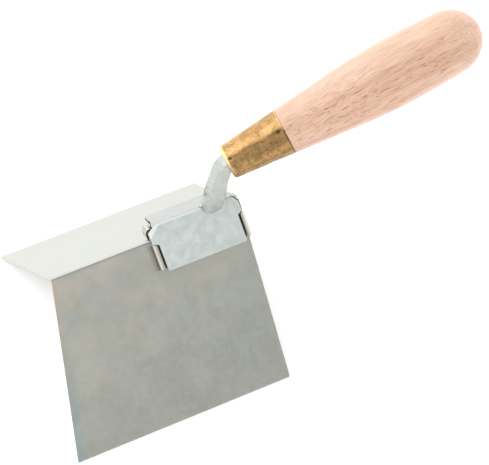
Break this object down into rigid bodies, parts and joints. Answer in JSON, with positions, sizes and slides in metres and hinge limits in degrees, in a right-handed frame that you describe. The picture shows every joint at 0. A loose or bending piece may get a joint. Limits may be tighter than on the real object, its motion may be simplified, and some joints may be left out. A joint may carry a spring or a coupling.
{
  "type": "corner trowel",
  "caption": "Hand trowel with a folded steel blade for smoothing plaster on a corner, a saddle plate held by bent tabs, a cranked neck, a brass ferrule and a turned wooden handle.",
  "frame": {"origin": "on the outer ridge line of the blade, at the front end of the fold", "axes": "+X along the fold towards the handle, +Z out of the ridge in the plane halfway between the wings, +Y across the fold, towards the right wing as seen from behind the handle with the ridge up"},
  "size_m": [0.2481, 0.1334, 0.1421],
  "materials": {
    "blade_steel": "tempered spring steel, ground and lightly oiled",
    "zinc_plate": "bright zinc plating with a fine mottle",
    "neck_steel": "zinc plated forged bar",
    "weld_steel": "zinc plated weld bead",
    "ferrule_brass": "aged rolled brass with a seam",
    "beech": "turned beech with fine flecks, satin"
  },
  "bodies": {
    "root": {"blade": "blade_steel", "saddle": "zinc_plate", "neck": "neck_steel", "weld": "weld_steel", "ferrule": "ferrule_brass", "handle": "beech"}
  },
  "joints": []
}
